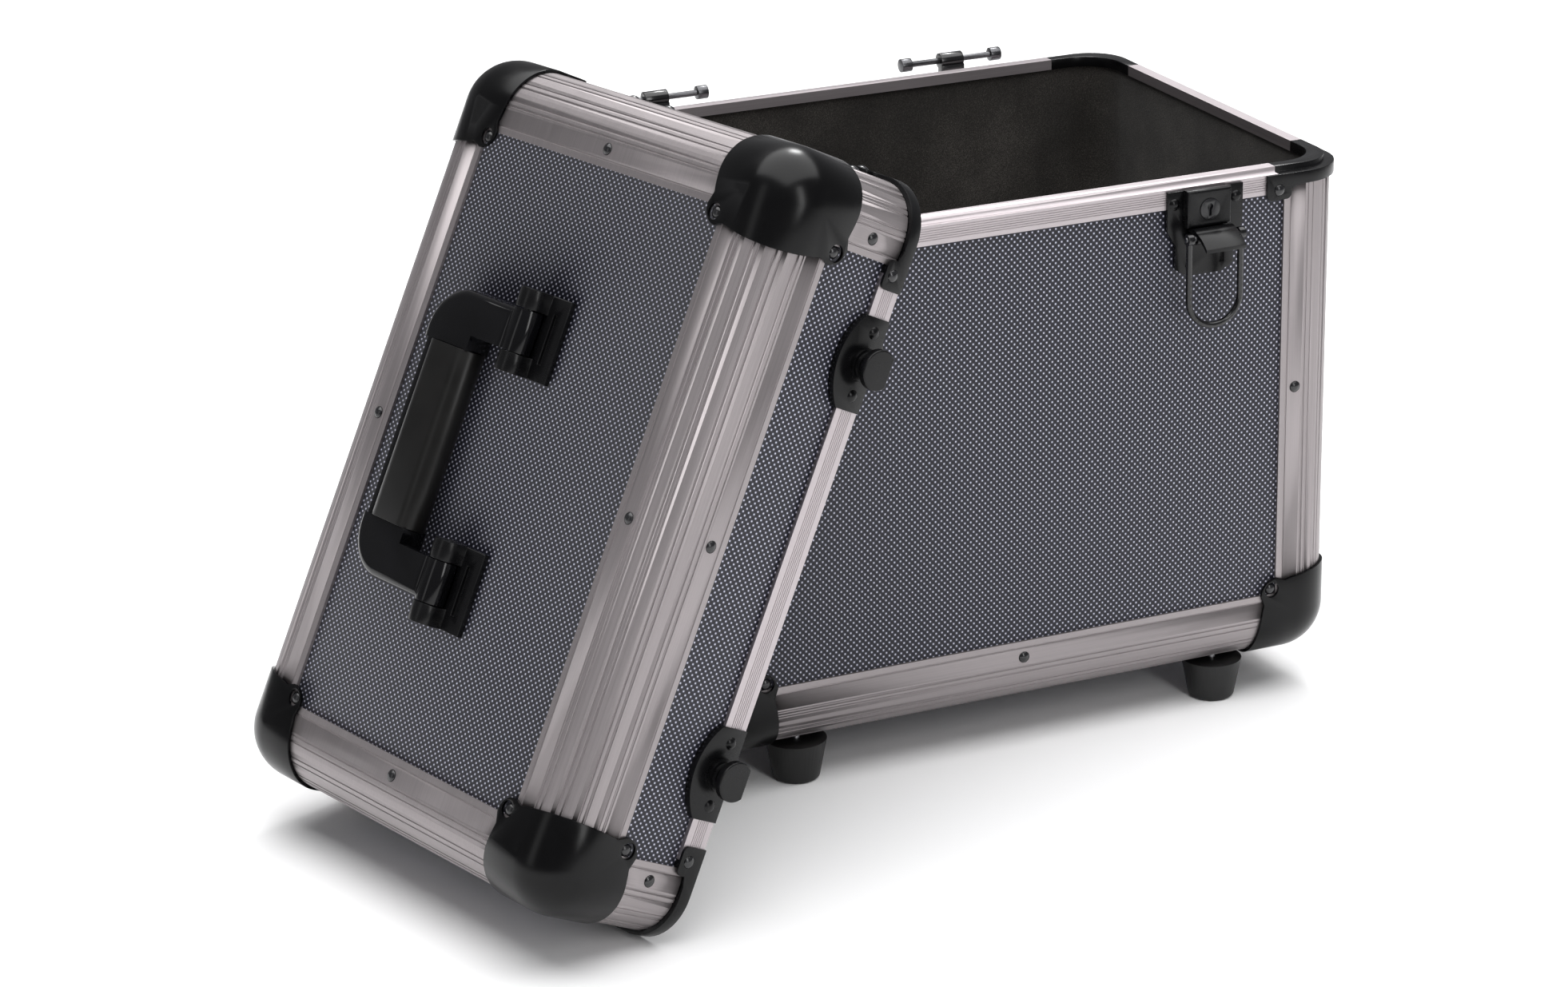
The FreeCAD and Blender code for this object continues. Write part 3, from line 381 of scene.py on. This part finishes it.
# ---- floor, light and camera ----------------------------------------------------------------------
FLOOR_HALF = 9.0
FLOOR_WHITE = (0.97, 0.97, 0.97)
SKY_WHITE = (0.97, 0.97, 1.0, 1.0)
SKY_STRENGTH = 0.24
LIGHT_AIM = Vector((-0.05, 0.0, 0.15))
# name, place, width and height in metres, and power in watts
LIGHTS = [
    ("overhead", (0.10, 0.05, 2.3), 3.4, 3.4, 118.0),
    ("spark", (0.75, 1.0, 1.75), 0.35, 0.35, 12.0),
    ("left_strip", (-1.9, -0.5, 0.9), 0.4, 1.5, 2.0),
    ("front_strip", (0.1, -2.2, 1.1), 0.4, 1.5, 11.0),
]


def build_floor():
    """A large pale floor the object stands on."""
    bm = bmesh.new()
    bmesh.ops.create_grid(bm, x_segments=1, y_segments=1, size=FLOOR_HALF)
    mesh = bpy.data.meshes.new("floor")
    bm.to_mesh(mesh)
    bm.free()
    floor = bpy.data.objects.new("floor", mesh)
    bpy.context.scene.collection.objects.link(floor)
    s = Shader("floor_white")
    s.bsdf.inputs["Specular IOR Level"].default_value = 0.1
    mesh.materials.append(s.finish(Base_Color=FLOOR_WHITE, Roughness=0.9))


def area_light(name, place, width, height, power):
    data = bpy.data.lights.new(name, "AREA")
    data.shape = "RECTANGLE"
    data.size = width
    data.size_y = height
    data.energy = power
    lamp = bpy.data.objects.new(name, data)
    lamp.location = place
    lamp.rotation_euler = (LIGHT_AIM - Vector(place)).to_track_quat("-Z", "Y").to_euler()
    bpy.context.scene.collection.objects.link(lamp)


def build_light():
    world = bpy.data.worlds.new("studio")
    world.use_nodes = True
    background = world.node_tree.nodes["Background"]
    background.inputs["Color"].default_value = SKY_WHITE
    background.inputs["Strength"].default_value = SKY_STRENGTH
    bpy.context.scene.world = world
    for light in LIGHTS:
        area_light(*light)


CAMERA_AZIMUTH = math.radians(23.889)
CAMERA_ELEVATION = math.radians(20.116)
CAMERA_ROLL = math.radians(-1.070)
CAMERA_AIM = Vector((-0.0492, 0.0560, 0.0844))
CAMERA_DISTANCE = 2.2783
CAMERA_LENS = 99.12        # mm, on the sensor below
SENSOR_WIDTH = 36.0


def build_camera():
    """A camera looking from the front, left and above."""
    sa, ca = math.sin(CAMERA_AZIMUTH), math.cos(CAMERA_AZIMUTH)
    se, ce = math.sin(CAMERA_ELEVATION), math.cos(CAMERA_ELEVATION)
    forward = Vector((sa * ce, ca * ce, -se))
    right = Vector((ca, -sa, 0.0))
    up = Vector((sa * se, ca * se, ce))
    axis_x = right * math.cos(CAMERA_ROLL) + up * math.sin(CAMERA_ROLL)
    axis_y = up * math.cos(CAMERA_ROLL) - right * math.sin(CAMERA_ROLL)
    turn = Matrix((axis_x, axis_y, -forward)).transposed()
    data = bpy.data.cameras.new("camera")
    data.lens = CAMERA_LENS
    data.sensor_width = SENSOR_WIDTH
    data.clip_end = 50.0
    camera = bpy.data.objects.new("camera", data)
    place = CAMERA_AIM - forward * CAMERA_DISTANCE
    camera.matrix_world = Matrix.Translation(place) @ turn.to_4x4()
    bpy.context.scene.collection.objects.link(camera)
    bpy.context.scene.camera = camera


dress_all()
build_floor()
build_light()
build_camera()
bpy.context.scene.view_settings.view_transform = "Standard"
